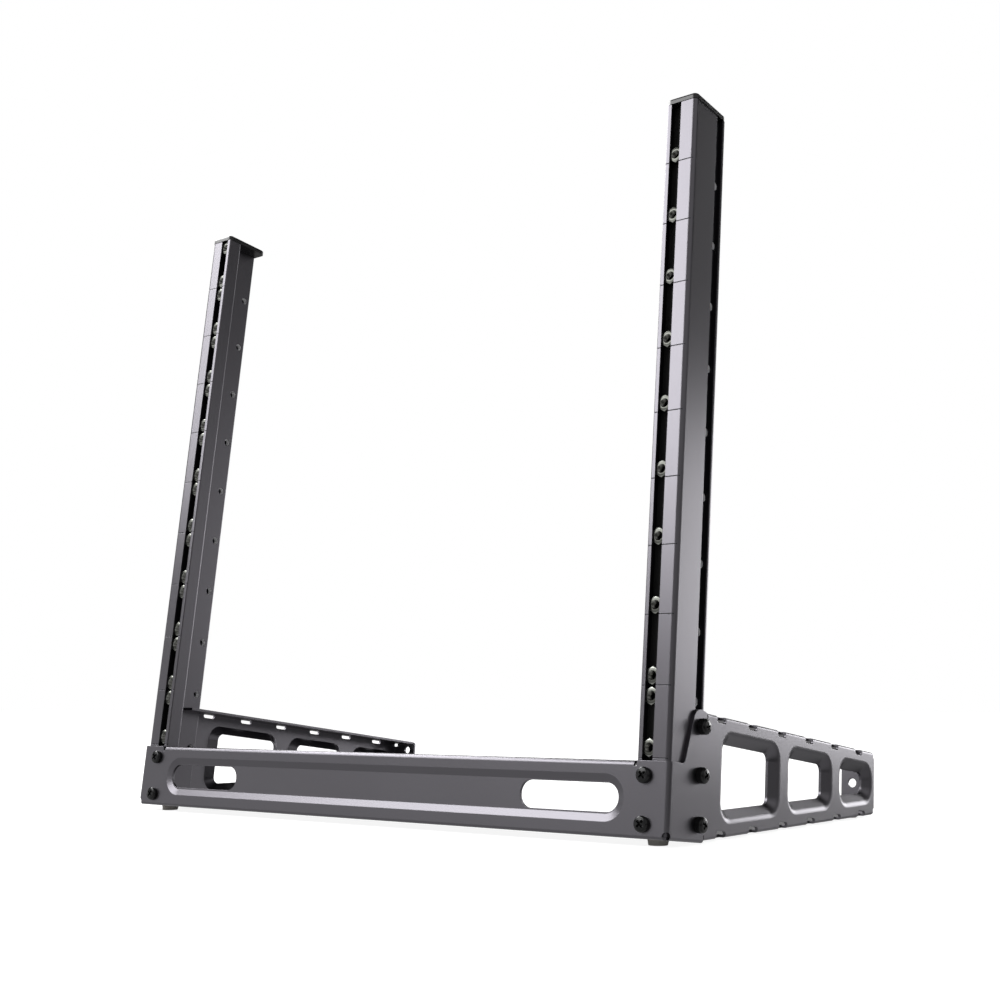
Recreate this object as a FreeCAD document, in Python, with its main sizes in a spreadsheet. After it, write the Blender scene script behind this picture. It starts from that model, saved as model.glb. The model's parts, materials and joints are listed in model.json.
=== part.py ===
"""Desktop data rack: a 19-inch open frame of ten units that leans back on its desk.

A folded steel base (front rail and two legs) carries two aluminium posts. Nuts sit
in the posts' front channels, black caps close the posts, screws hold the base to the
posts, and rubber feet carry the rack.

Every piece is drawn in the rack's own axes: X to the right, Y to the rear, Z up along
the posts, Y = 0 on the posts' front faces and Z = 0 on the lowest unit line. One common
placement then leans the rack back, so that its legs are level, and stands it on Z = 0.
"""
import FreeCAD, Part
import math
import os
import Sketcher

V = FreeCAD.Vector
TINY = 1e-3
SIDES = (("left", -1), ("right", 1))
SIDE_LEVELS = ("upper", "middle", "lower")

DIMENSIONS = {
    # Rack standard: unit pitch and the hole places inside one unit
    "unit_pitch": 44.45,
    "unit_count": 10,
    "hole_low": 6.35,
    "hole_middle": 22.225,
    "hole_high": 38.1,
    "hole_column": 232.55,
    # Posts
    "clear_half": 225.5,
    "post_width": 22.75,
    "post_depth": 40,
    "post_front_round": 3,
    "post_edge_round": 1,
    "post_box_round": 1.6,
    "slot_width": 7.6,
    "lip_thick": 1.5,
    "line_width": 0.5,
    "line_depth": 0.3,
    "channel_width": 10.5,
    "channel_back": 11,
    "box_depth": 13,
    "web_thick": 2.5,
    "wall_thick": 2,
    "groove_front": 28.8,
    "groove_width": 7.6,
    "groove_depth": 3,
    "groove_wall": 2.5,
    "hole_row": 34,
    "web_hole_radius": 2.8,
    "web_hole_depth": 3.5,
    # Caps
    "cap_overhang": 0.4,
    "cap_height": 4.2,
    "cap_corner_round": 3.5,
    "cap_edge_round": 1.8,
    # Nuts and their carrier strips
    "nut_across_flats": 10,
    "nut_thick": 5,
    "nut_bore_radius": 2.5,
    "strip_play": 0.1,
    "strip_hole_radius": 3.5,
    # Folded base sheet
    "sheet_thick": 2,
    "rail_gap": 1.7,
    "rail_height": 46.7,
    "rail_floor_depth": 40,
    "rail_roof_depth": 18,
    "rail_roof_half": 224.5,
    "corner_bend": 3,
    "bend_run": 0.9,
    "flange_bend": 1.9,
    "rail_bend": 3,
    "relief_width": 2,
    "relief_depth": 3.5,
    "corner_relief_radius": 2.6,
    "corner_relief_rise": 2.2,
    "rear_relief_radius": 1.75,
    "rear_relief_inset": 1.5,
    "rear_relief_drop": 3,
    "rear_notch": 3,
    "cut_margin": 5,
    "lean_deg": 6.6,
    "leg_rear": 302.5,
    "leg_crest": 33.1,
    "crest_end": 35,
    "crest_round": 10,
    "slant_foot": 15.2,
    "slant_head": 26.6,
    "slant_foot_round": 4,
    "slant_head_round": 8,
    "flange_start": 40.9,
    "flange_relief": 0.8,
    "flange_top": 31.8,
    "flange_fall": 2,
    "flange_low": -47.05,
    "flange_width": 26.5,
    "flange_corner_round": 3,
    "leg_corner_cut": 4.2,
    "tongue_front": 20,
    "tongue_gap": 0.5,
    # Leg openings with their dished rims
    "opening_margin": 10,
    "opening_1_front": 61.7,
    "opening_1_rear": 141.4,
    "opening_2_front": 155.6,
    "opening_2_rear": 224.7,
    "opening_3_front": 239,
    "opening_3_rear": 295.8,
    "opening_round": 12,
    "dish_depth": 5.1,
    "dish_inset": 6.6,
    "dish_round": 6,
    # Slots along the legs' bends
    "top_slot_first": 59.7,
    "top_slot_pitch": 42.5,
    "low_slot_first": 63.3,
    "low_slot_pitch": 43,
    "slot_count": 6,
    "slot_length": 12,
    "slot_height": 4.4,
    "slot_round": 1.9,
    "slot_reach": 4.5,
    # Recessed panel and cable cut-outs of the front rail
    "panel_half": 218.3,
    "panel_height": 29.3,
    "panel_depth": 1.7,
    "panel_bevel": 4.8,
    "panel_round": 14.4,
    "cutout_inner": 137.3,
    "cutout_outer": 213.4,
    "cutout_height": 17.9,
    "cutout_rise": 0.25,
    "cutout_round": 8.7,
    # Holes in the legs' rear flanges
    "rear_hole_radius": 3.4,
    # Screws: pan heads and shanks
    "screw_radius": 2.5,
    "screw_length": 10,
    "head_radius": 5.1,
    "front_head_height": 3.8,
    "side_head_height": 5.3,
    "head_round": 2.66,
    "screw_hole_radius": 2.7,
    "screw_tip_gap": 0.2,
    "front_screw_upper": -10.5,
    "front_screw_lower": -39.7,
    "side_screw_upper": 22.6,
    "side_screw_middle": -7.5,
    "side_screw_lower": -37.5,
    # Rubber feet and pads
    "foot_row": 17,
    "foot_top_radius": 6.6,
    "foot_low_radius": 5.4,
    "foot_blank": 6,
    "pad_row": 284,
    "pad_radius": 6,
    "pad_thick": 1.5,
}

# Lengths that follow from the driving dimensions, as expressions on the sheet
POST_OUTER = "(dims.clear_half + dims.post_width)"
LEG_OUTER = f"({POST_OUTER} + dims.sheet_thick)"
RAIL_TOP = "(-dims.rail_gap)"
RAIL_LOW = "(-dims.rail_gap - dims.rail_height)"
POST_FOOT = f"({RAIL_LOW} + dims.sheet_thick)"
POST_TOP = "(dims.unit_pitch * dims.unit_count)"
CHANNEL_INNER = "(dims.hole_column - dims.channel_width / 2)"
CHANNEL_OUTER = "(dims.hole_column + dims.channel_width / 2)"
SLOT_INNER = "(dims.hole_column - dims.slot_width / 2)"
SLOT_OUTER = "(dims.hole_column + dims.slot_width / 2)"
CHAMBER_INNER = f"({CHANNEL_OUTER} + dims.web_thick)"
GROOVE_FLOOR = f"({POST_OUTER} - dims.groove_depth)"
GROOVE_REAR = "(dims.groove_front + dims.groove_width)"
NUT_BACK = "(dims.lip_thick + dims.nut_thick)"
PANEL_MIDDLE = f"({RAIL_TOP} - dims.rail_height / 2)"
FLANGE_FRONT = "(dims.flange_start + dims.flange_relief)"
FLANGE_EDGE = f"({LEG_OUTER} - dims.flange_width)"
REAR_CUT = "(dims.leg_rear - dims.leg_corner_cut)"
FLOOR_HALF = f"({LEG_OUTER} - dims.corner_bend)"

doc = FreeCAD.newDocument("desktop_data_rack")
dims = doc.addObject("Spreadsheet::Sheet", "dims")
for row, (alias, number) in enumerate(DIMENSIONS.items(), start=1):
    dims.set(f"A{row}", alias)
    dims.set(f"B{row}", str(number))
    dims.setAlias(f"B{row}", alias)
doc.recompute()


def size(text):
    """The number that an expression on the sheet gives."""
    return float(dims.evalExpression(text))


def flange_top_at(y):
    """Height of the leg's upper edge at a distance y from the posts' front, as an expression."""
    run = "(dims.leg_rear - dims.flange_start)"
    return f"(dims.flange_top - dims.flange_fall * ({y} - dims.flange_start) / {run})"


def flange_low_at(y):
    """Height of the leg's lower edge at y: it climbs by the angle that the rack leans back."""
    return f"(dims.flange_low + ({y} - dims.flange_start) * tan(dims.lean_deg))"


def new_body(name):
    """An empty body whose label names its file."""
    body = doc.addObject("PartDesign::Body", name)
    body.Label = name
    return body


def new_sketch(body, name, plane, offset="0"):
    """A sketch on one of the body's own origin planes, moved along that plane's normal."""
    sketch = body.newObject("Sketcher::SketchObject", name)
    support = [f for f in body.Origin.OriginFeatures if f.Role == plane][0]
    sketch.AttachmentSupport = [(support, "")]
    sketch.MapMode = "FlatFace"
    sketch.setExpression("AttachmentOffset.Base.z", offset)
    doc.recompute()
    return sketch


class Rules:
    """Collects a sketch's constraints, so that they are added and solved in one go."""

    def __init__(self, sketch):
        self.sketch = sketch
        self.rules = []
        self.texts = {}

    def add(self, *rule):
        """One constraint without a size."""
        self.rules.append(Sketcher.Constraint(*rule))

    def add_sized(self, text, *rule):
        """One constraint whose size is an expression on the sheet."""
        self.texts[len(self.rules)] = text
        self.rules.append(Sketcher.Constraint(*rule, size(text)))

    def pin(self, geometry, point, x, y):
        """Ties a point to two expressions, measured from the sketch's origin."""
        self.add_sized(x, "DistanceX", -1, 1, geometry, point)
        self.add_sized(y, "DistanceY", -1, 1, geometry, point)

    def apply(self):
        """Adds all constraints and binds their sizes."""
        first = self.sketch.ConstraintCount
        self.sketch.addConstraint(self.rules)
        for index, text in self.texts.items():
            self.sketch.setExpression(f"Constraints[{first + index}]", text)


def draw_circle(sketch, x, y, radius):
    """A circle with its centre and radius given as expressions."""
    circle = sketch.addGeometry(Part.Circle(V(size(x), size(y), 0), V(0, 0, 1), size(radius)))
    rules = Rules(sketch)
    rules.pin(circle, 3, x, y)
    rules.add_sized(radius, "Radius", circle)
    rules.apply()


def draw_outline(sketch, corners):
    """A closed outline through corners (x, y) or (x, y, radius), all given as expressions."""
    points = [V(size(c[0]), size(c[1]), 0) for c in corners]
    radii = [size(c[2]) if len(c) > 2 else 0 for c in corners]
    count = len(points)
    arrive, leave, centre = [], [], []
    for i in range(count):
        back = (points[i - 1] - points[i]).normalize()
        ahead = (points[(i + 1) % count] - points[i]).normalize()
        half = back.getAngle(ahead) / 2
        reach = radii[i] / math.tan(half)
        arrive.append(points[i] + back * reach)
        leave.append(points[i] + ahead * reach)
        centre.append(points[i] + (back + ahead).normalize() * (radii[i] / math.sin(half)))
    lines = []
    for i in range(count):
        segment = Part.LineSegment(leave[i], arrive[(i + 1) % count])
        lines.append(sketch.addGeometry(segment))
    rules = Rules(sketch)
    for i, corner in enumerate(corners):
        before, after = lines[i - 1], lines[i]
        if radii[i] == 0:
            rules.add("Coincident", before, 2, after, 1)
            rules.pin(after, 1, corner[0], corner[1])
            continue
        turns_left = (arrive[i] - centre[i]).cross(leave[i] - centre[i]).z > 0
        first, last = (1, 2) if turns_left else (2, 1)
        start, end = (arrive[i], leave[i]) if turns_left else (leave[i], arrive[i])
        angles = [math.atan2(p.y - centre[i].y, p.x - centre[i].x) for p in (start, end)]
        circle = Part.Circle(centre[i], V(0, 0, 1), radii[i])
        arc = sketch.addGeometry(Part.ArcOfCircle(circle, *angles))
        rules.add("Tangent", before, 2, arc, first)
        rules.add("Tangent", arc, last, after, 1)
        rules.add_sized(corner[2], "Radius", arc)
        mark = sketch.addGeometry(Part.Point(points[i]), True)
        rules.add("PointOnObject", mark, 1, before)
        rules.add("PointOnObject", mark, 1, after)
        rules.pin(mark, 1, corner[0], corner[1])
    rules.apply()


def rectangle(x0, y0, x1, y1, *radius):
    """Corners of a rectangle, each with the same radius where one is given."""
    return [(x0, y0, *radius), (x1, y0, *radius), (x1, y1, *radius), (x0, y1, *radius)]


def add_pad(body, sketch, length, reverse=False, taper=None):
    """Raises a sketch along its normal, or against it where reverse is true; a taper narrows it."""
    pad = body.newObject("PartDesign::Pad", sketch.Name + "_pad")
    pad.Profile = sketch
    pad.setExpression("Length", length)
    pad.Reversed = reverse
    if taper:
        pad.setExpression("TaperAngle", f"-{taper}")
    doc.recompute()
    return pad


def add_pocket(body, sketch, length=None, both_ways=False, taper=None, reverse=False):
    """Cuts a sketch by a length or right through, and checks that it cut.

    It cuts against the sketch's normal, or along it where reverse is true.
    """
    before = body.Shape.Volume
    pocket = body.newObject("PartDesign::Pocket", sketch.Name + "_cut")
    pocket.Profile = sketch
    if length is None:
        pocket.Type = "ThroughAll"
        pocket.Midplane = both_ways
    else:
        pocket.setExpression("Length", length)
        pocket.Reversed = reverse
    if taper:
        pocket.setExpression("TaperAngle", f"-{taper}")
    doc.recompute()
    if not body.Shape.Volume < before - 1e-3:
        raise RuntimeError(f"{pocket.Name} cut nothing")
    return pocket


def add_row(body, feature, axis, step, count):
    """Repeats a feature along one of the body's axes."""
    line = [f for f in body.Origin.OriginFeatures if f.Role == axis][0]
    row = body.newObject("PartDesign::LinearPattern", feature.Name + "_row")
    row.Originals = [feature]
    row.Direction = (line, [""])
    row.setExpression("Length", f"{step} * ({count} - 1)")
    row.setExpression("Occurrences", count)
    body.Tip = row
    doc.recompute()
    return row


def add_fillet(body, radius, wanted):
    """Rounds the body's edges for which wanted(edge) is true."""
    base = body.Tip
    names = [f"Edge{i}" for i, edge in enumerate(base.Shape.Edges, start=1) if wanted(edge)]
    fillet = body.newObject("PartDesign::Fillet", body.Name + "_round")
    fillet.Base = (base, names)
    fillet.setExpression("Radius", radius)
    doc.recompute()
    return fillet


def build_post(side, sign):
    """An extruded post: nut channel in front, hollow outer wall, groove on the outer side.

    Every unit has a blind hole in the web's inner face and a line engraved across the
    front lips. The blind holes in the groove's floor lie lower, level with the upper nuts.
    """
    body = new_body(f"{side}_post")
    section = new_sketch(body, f"{side}_post_section", "XY_Plane", POST_FOOT)

    def across(text):
        return f"{sign} * {text}"

    inner, outer = across("dims.clear_half"), across(POST_OUTER)
    channel_in, channel_out = across(CHANNEL_INNER), across(CHANNEL_OUTER)
    floor = across(GROOVE_FLOOR)
    edge_round = "dims.post_edge_round"
    draw_outline(section, [
        (inner, "0", edge_round),
        (across(SLOT_INNER), "0"),
        (across(SLOT_INNER), "dims.lip_thick"),
        (channel_in, "dims.lip_thick"),
        (channel_in, "dims.channel_back"),
        (channel_out, "dims.channel_back"),
        (channel_out, "dims.lip_thick"),
        (across(SLOT_OUTER), "dims.lip_thick"),
        (across(SLOT_OUTER), "0"),
        (outer, "0", "dims.post_front_round"),
        (outer, "dims.groove_front"),
        (floor, "dims.groove_front"),
        (floor, GROOVE_REAR),
        (outer, GROOVE_REAR),
        (outer, "dims.post_depth", edge_round),
        (channel_out, "dims.post_depth", edge_round),
        (channel_out, "dims.box_depth"),
        (inner, "dims.box_depth", "dims.post_box_round"),
    ])
    chamber_outer = across(f"({POST_OUTER} - dims.wall_thick)")
    chamber_rear = "(dims.groove_front - dims.groove_wall)"
    chamber = rectangle(across(CHAMBER_INNER), "dims.wall_thick", chamber_outer, chamber_rear, edge_round)
    draw_outline(section, chamber)
    add_pad(body, section, f"{POST_TOP} - {POST_FOOT}")
    web_hole = new_sketch(body, f"{side}_post_web_hole", "YZ_Plane", channel_out)
    draw_circle(web_hole, "dims.hole_row", "0", "dims.web_hole_radius")
    hole = add_pocket(body, web_hole, "dims.web_hole_depth", reverse=sign > 0)
    add_row(body, hole, "Z_Axis", "dims.unit_pitch", "dims.unit_count")
    groove_hole = new_sketch(body, f"{side}_post_groove_hole", "YZ_Plane", floor)
    draw_circle(groove_hole, "dims.hole_row", "dims.hole_high", "dims.web_hole_radius")
    hole = add_pocket(body, groove_hole, "dims.web_hole_depth", reverse=sign < 0)
    add_row(body, hole, "Z_Axis", "dims.unit_pitch", "(dims.unit_count - 1)")
    unit_line = new_sketch(body, f"{side}_post_unit_line", "YZ_Plane")
    half_line = "dims.line_width / 2"
    draw_outline(unit_line, rectangle("-dims.cut_margin", f"-{half_line}", "dims.line_depth", half_line))
    line = add_pocket(body, unit_line, both_ways=True)
    add_row(body, line, "Z_Axis", "dims.unit_pitch", "dims.unit_count")
    screw_holes = new_sketch(body, f"{side}_post_screw_holes", "YZ_Plane", outer)
    for level in SIDE_LEVELS:
        draw_circle(screw_holes, "dims.hole_row", f"dims.side_screw_{level}", "dims.screw_hole_radius")
    screw_reach = "dims.screw_length - dims.sheet_thick + dims.screw_tip_gap"
    add_pocket(body, screw_holes, screw_reach, reverse=sign < 0)
    return body


def build_cap(side, sign):
    """A moulded end cap that covers the whole outline of its post."""
    body = new_body(f"{side}_post_cap")
    plan = new_sketch(body, f"{side}_cap_plan", "XY_Plane", POST_TOP)
    inner = f"{sign} * (dims.clear_half - dims.cap_overhang)"
    outer = f"{sign} * ({POST_OUTER} + dims.cap_overhang)"
    rear = "dims.post_depth + dims.cap_overhang"
    draw_outline(plan, rectangle(inner, "-dims.cap_overhang", outer, rear, "dims.cap_corner_round"))
    add_pad(body, plan, "dims.cap_height")
    crown = size(f"{POST_TOP} + dims.cap_height")
    add_fillet(body, "dims.cap_edge_round", lambda edge: edge.BoundBox.ZMin > crown - 1e-6)
    return body


def nut_rows(side):
    """Rows of nuts in one post, each by its first height and its count, one nut a unit.

    The left post has two in every unit, the right post one, and a second one in its
    lowest unit. Two more in each post hold the front screws.
    """
    everywhere = "dims.unit_count"
    return [
        ("dims.hole_low", everywhere),
        ("dims.hole_high", everywhere if side == "left" else "1"),
        ("dims.front_screw_upper", "1"),
        ("dims.front_screw_lower", "1"),
    ]


def build_nut_strip(side, sign):
    """A flat carrier strip at the back of the nut channel, bored behind every nut."""
    body = new_body(f"{side}_nut_strip")
    plan = new_sketch(body, f"{side}_strip_plan", "XY_Plane", POST_FOOT)
    inner = f"{sign} * ({CHANNEL_INNER} + dims.strip_play)"
    outer = f"{sign} * ({CHANNEL_OUTER} - dims.strip_play)"
    draw_outline(plan, rectangle(inner, NUT_BACK, outer, "dims.channel_back"))
    add_pad(body, plan, f"{POST_TOP} - {POST_FOOT}")
    for height, count in nut_rows(side):
        bore = new_sketch(body, f"{side}_strip_bore", "XZ_Plane")
        draw_circle(bore, f"{sign} * dims.hole_column", height, "dims.strip_hole_radius")
        cut = add_pocket(body, bore, both_ways=True)
        if count != "1":
            add_row(body, cut, "Z_Axis", "dims.unit_pitch", count)
    return body


def build_nuts(side, sign):
    """Hexagon nuts behind the channel's lips, with two flats along the channel's walls."""
    body = new_body(f"{side}_captive_nuts")
    half = "dims.nut_across_flats / 2"
    point = f"{half} / cos(30)"
    shoulder = f"{half} * tan(30)"
    column = f"{sign} * dims.hole_column"
    for height, count in nut_rows(side):
        face = new_sketch(body, f"{side}_nut_face", "XZ_Plane", f"-{NUT_BACK}")
        draw_outline(face, [
            (f"{column} - {half}", f"{height} - {shoulder}"),
            (column, f"{height} - {point}"),
            (f"{column} + {half}", f"{height} - {shoulder}"),
            (f"{column} + {half}", f"{height} + {shoulder}"),
            (column, f"{height} + {point}"),
            (f"{column} - {half}", f"{height} + {shoulder}"),
        ])
        draw_circle(face, column, height, "dims.nut_bore_radius")
        nut = add_pad(body, face, "dims.nut_thick")
        if count != "1":
            add_row(body, nut, "Z_Axis", "dims.unit_pitch", count)
    return body


def opening_corners(number, inset, radius):
    """Corners of a leg opening: upper and lower edges run along the leg's own edges."""
    margin = f"(dims.opening_margin + {inset})"
    front = f"(dims.opening_{number}_front + {inset})"
    rear = f"(dims.opening_{number}_rear - {inset})"
    return [
        (front, f"{flange_top_at(front)} - {margin}", radius),
        (rear, f"{flange_top_at(rear)} - {margin}", radius),
        (rear, f"{flange_low_at(rear)} + {margin}", radius),
        (front, f"{flange_low_at(front)} + {margin}", radius),
    ]


def dish_opening(body, number):
    """A leg opening whose rim is dished inwards: the sheet slopes in, then it is cut through."""
    slope = "atan(dims.dish_inset / dims.dish_depth)"
    mouth = opening_corners(number, "0", "dims.opening_round")
    back = new_sketch(body, f"opening_{number}_back", "YZ_Plane", POST_OUTER)
    draw_outline(back, mouth)
    add_pad(body, back, "dims.dish_depth", reverse=True, taper=slope)
    face = new_sketch(body, f"opening_{number}_face", "YZ_Plane", LEG_OUTER)
    draw_outline(face, mouth)
    add_pocket(body, face, "dims.dish_depth", taper=slope)
    through = new_sketch(body, f"opening_{number}_through", "YZ_Plane", LEG_OUTER)
    throat_round = "dims.opening_round - dims.dish_inset"
    draw_outline(through, opening_corners(number, "dims.dish_inset", throat_round))
    add_pocket(body, through, "dims.flange_width")
    front = size(f"dims.opening_{number}_front")
    rear = size(f"dims.opening_{number}_rear")
    face_x = size(LEG_OUTER)

    def on_mouth(edge):
        box = edge.BoundBox
        on_face = box.XLength < TINY and abs(box.XMin - face_x) < TINY
        return on_face and box.YMin > front - TINY and box.YMax < rear + TINY

    add_fillet(body, "dims.dish_round", on_mouth)


def fold_strip(body):
    """Front rail and leg as one strip round the corner bend, cut to the leg's side outline."""
    thick = "dims.sheet_thick"
    strip = new_sketch(body, "base_strip", "XY_Plane", RAIL_LOW)
    draw_outline(strip, [
        ("0", f"-{thick}"),
        (LEG_OUTER, f"-{thick}", "dims.corner_bend"),
        (LEG_OUTER, "dims.leg_rear"),
        (POST_OUTER, "dims.leg_rear"),
        (POST_OUTER, "0", f"dims.corner_bend - {thick}"),
        ("0", "0"),
    ])
    add_pad(body, strip, f"dims.leg_crest - {RAIL_LOW}")

    above = "(dims.leg_crest + dims.cut_margin)"
    below = f"({RAIL_LOW} - dims.cut_margin)"
    ahead = "(-dims.corner_bend)"
    behind = "(dims.leg_rear + dims.cut_margin)"
    rear_top = f"{flange_top_at('dims.leg_rear')} - dims.leg_corner_cut"
    rear_low = f"{flange_low_at('dims.leg_rear')} + dims.leg_corner_cut"
    outline = new_sketch(body, "base_side_outline", "YZ_Plane")
    draw_outline(outline, [
        (ahead, RAIL_TOP),
        ("dims.slant_foot", RAIL_TOP, "dims.slant_foot_round"),
        ("dims.slant_head", "dims.leg_crest", "dims.slant_head_round"),
        ("dims.crest_end", "dims.leg_crest", "dims.crest_round"),
        ("dims.flange_start", "dims.flange_top"),
        ("dims.flange_start", "dims.flange_top - dims.relief_depth"),
        (FLANGE_FRONT, "dims.flange_top - dims.relief_depth"),
        (FLANGE_FRONT, flange_top_at(FLANGE_FRONT)),
        (REAR_CUT, flange_top_at(REAR_CUT)),
        ("dims.leg_rear", rear_top),
        (behind, rear_top),
        (behind, above),
        (ahead, above),
    ])
    draw_outline(outline, [
        ("dims.flange_start", below),
        (behind, below),
        (behind, rear_low),
        ("dims.leg_rear", rear_low),
        (REAR_CUT, flange_low_at(REAR_CUT)),
        (FLANGE_FRONT, flange_low_at(FLANGE_FRONT)),
        (FLANGE_FRONT, "dims.flange_low + dims.relief_depth"),
        ("dims.flange_start", "dims.flange_low + dims.relief_depth"),
    ])
    add_pocket(body, outline, both_ways=True)


def fold_leg_flanges(body):
    """Flanges folded inwards along the leg's upper, lower and rear edges.

    The upper one runs on past the post's web as a tongue. The rear one is as tall as the
    leg, except at its fold, where both corners are notched.
    """
    for level, edge_at, inwards in (("top", flange_top_at, "-"), ("low", flange_low_at, "+")):
        flange = new_sketch(body, f"base_{level}_flange", "YZ_Plane", LEG_OUTER)
        draw_outline(flange, [
            (FLANGE_FRONT, edge_at(FLANGE_FRONT)),
            (REAR_CUT, edge_at(REAR_CUT)),
            (REAR_CUT, f"{edge_at(REAR_CUT)} {inwards} dims.sheet_thick"),
            (FLANGE_FRONT, f"{edge_at(FLANGE_FRONT)} {inwards} dims.sheet_thick"),
        ])
        add_pad(body, flange, "dims.flange_width", reverse=True)
    beside_web = f"({CHANNEL_OUTER} - dims.tongue_gap)"
    tongue = new_sketch(body, "base_flange_tongue", "YZ_Plane", beside_web)
    overlap = f"({FLANGE_FRONT} + dims.sheet_thick)"
    draw_outline(tongue, [
        ("dims.tongue_front", flange_top_at("dims.tongue_front")),
        (overlap, flange_top_at(overlap)),
        (overlap, f"{flange_top_at(overlap)} - dims.sheet_thick"),
        ("dims.tongue_front", f"{flange_top_at('dims.tongue_front')} - dims.sheet_thick"),
    ])
    add_pad(body, tongue, f"{beside_web} - {FLANGE_EDGE}", reverse=True)
    notch_edge = f"({LEG_OUTER} - dims.rear_notch)"
    rear_low = f"{flange_low_at('dims.leg_rear')} + dims.leg_corner_cut"
    rear_top = f"{flange_top_at('dims.leg_rear')} - dims.leg_corner_cut"
    rear_flange = new_sketch(body, "base_rear_flange", "XZ_Plane", "-dims.leg_rear")
    draw_outline(rear_flange, [
        (FLANGE_EDGE, flange_low_at("dims.leg_rear"), "dims.flange_corner_round"),
        (notch_edge, flange_low_at("dims.leg_rear")),
        (notch_edge, rear_low),
        (LEG_OUTER, rear_low),
        (LEG_OUTER, rear_top),
        (notch_edge, rear_top),
        (notch_edge, flange_top_at("dims.leg_rear")),
        (FLANGE_EDGE, flange_top_at("dims.leg_rear"), "dims.flange_corner_round"),
    ])
    add_pad(body, rear_flange, "dims.sheet_thick")


def fold_rail_flanges(body):
    """Rail flanges: a floor under the posts and, between the posts, a roof with a notch at its end."""
    thick = "dims.sheet_thick"
    floor = new_sketch(body, "base_rail_floor", "XY_Plane", RAIL_LOW)
    draw_outline(floor, rectangle("0", f"-{thick}", FLOOR_HALF, "dims.rail_floor_depth"))
    add_pad(body, floor, thick)
    roof = new_sketch(body, "base_rail_roof", "XY_Plane", RAIL_TOP)
    draw_outline(roof, rectangle("0", f"-{thick}", "dims.rail_roof_half", "dims.rail_roof_depth"))
    add_pad(body, roof, thick, reverse=True)
    notch = new_sketch(body, "base_roof_notch", "XZ_Plane", "dims.cut_margin")
    draw_outline(notch, rectangle(
        "dims.rail_roof_half", f"{RAIL_TOP} - dims.relief_depth",
        "dims.rail_roof_half + dims.relief_width", f"{RAIL_TOP} + dims.relief_depth"))
    add_pocket(body, notch, "dims.cut_margin * 2")


def round_bends(body):
    """Rounds the outer edges of the folds: tight along the leg and the rail's floor, wide at its roof."""
    side_face = size(LEG_OUTER)
    rail_face = -size("dims.sheet_thick")
    long_edge = size("dims.rail_height") * 2

    def on_rail_fold(edge, height):
        box = edge.BoundBox
        along_rail = box.XLength > long_edge and abs(box.ZMin - height) < TINY
        return along_rail and box.YLength < TINY and abs(box.YMin - rail_face) < TINY

    def on_tight_fold(edge):
        box = edge.BoundBox
        along_leg = box.YLength > long_edge
        up_the_rear = box.YMin > size("dims.leg_rear") - TINY
        on_side = box.XLength < TINY and abs(box.XMin - side_face) < TINY
        return on_rail_fold(edge, size(RAIL_LOW)) or on_side and (along_leg or up_the_rear)

    add_fillet(body, "dims.flange_bend", on_tight_fold)
    add_fillet(body, "dims.rail_bend", lambda edge: on_rail_fold(edge, size(RAIL_TOP)))


def cut_bend_slots(body):
    """Rows of slots through the upper and lower bends of the leg."""
    levels = (("top", flange_top_at, "-", "+"), ("low", flange_low_at, "+", "-"))
    for level, edge_at, inwards, outwards in levels:
        for k in range(DIMENSIONS["slot_count"]):
            middle = f"(dims.{level}_slot_first + dims.{level}_slot_pitch * {k})"
            front = f"({middle} - dims.slot_length / 2)"
            rear = f"({middle} + dims.slot_length / 2)"
            past = f"{edge_at(middle)} {outwards} dims.sheet_thick"
            floor = f"{edge_at(middle)} {inwards} dims.slot_height"
            slot = new_sketch(body, f"base_{level}_slot", "YZ_Plane", LEG_OUTER)
            draw_outline(slot, [
                (front, past),
                (rear, past),
                (rear, floor, "dims.slot_round"),
                (front, floor, "dims.slot_round"),
            ])
            add_pocket(body, slot, "dims.slot_reach")


def recess_panel(body):
    """A long panel pressed into the rail, bevelled all round and round at its ends."""
    bevel = "atan(dims.panel_bevel / dims.panel_depth)"
    low = f"{PANEL_MIDDLE} - dims.panel_height / 2"
    high = f"{PANEL_MIDDLE} + dims.panel_height / 2"
    past_middle = "-dims.panel_height"
    rim = [
        (past_middle, low),
        ("dims.panel_half", low, "dims.panel_round"),
        ("dims.panel_half", high, "dims.panel_round"),
        (past_middle, high),
    ]
    back = new_sketch(body, "base_panel_back", "XZ_Plane")
    draw_outline(back, rim)
    add_pad(body, back, "dims.panel_depth", reverse=True, taper=bevel)
    face = new_sketch(body, "base_panel_face", "XZ_Plane", "dims.sheet_thick")
    draw_outline(face, rim)
    add_pocket(body, face, "dims.panel_depth", taper=bevel)


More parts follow.
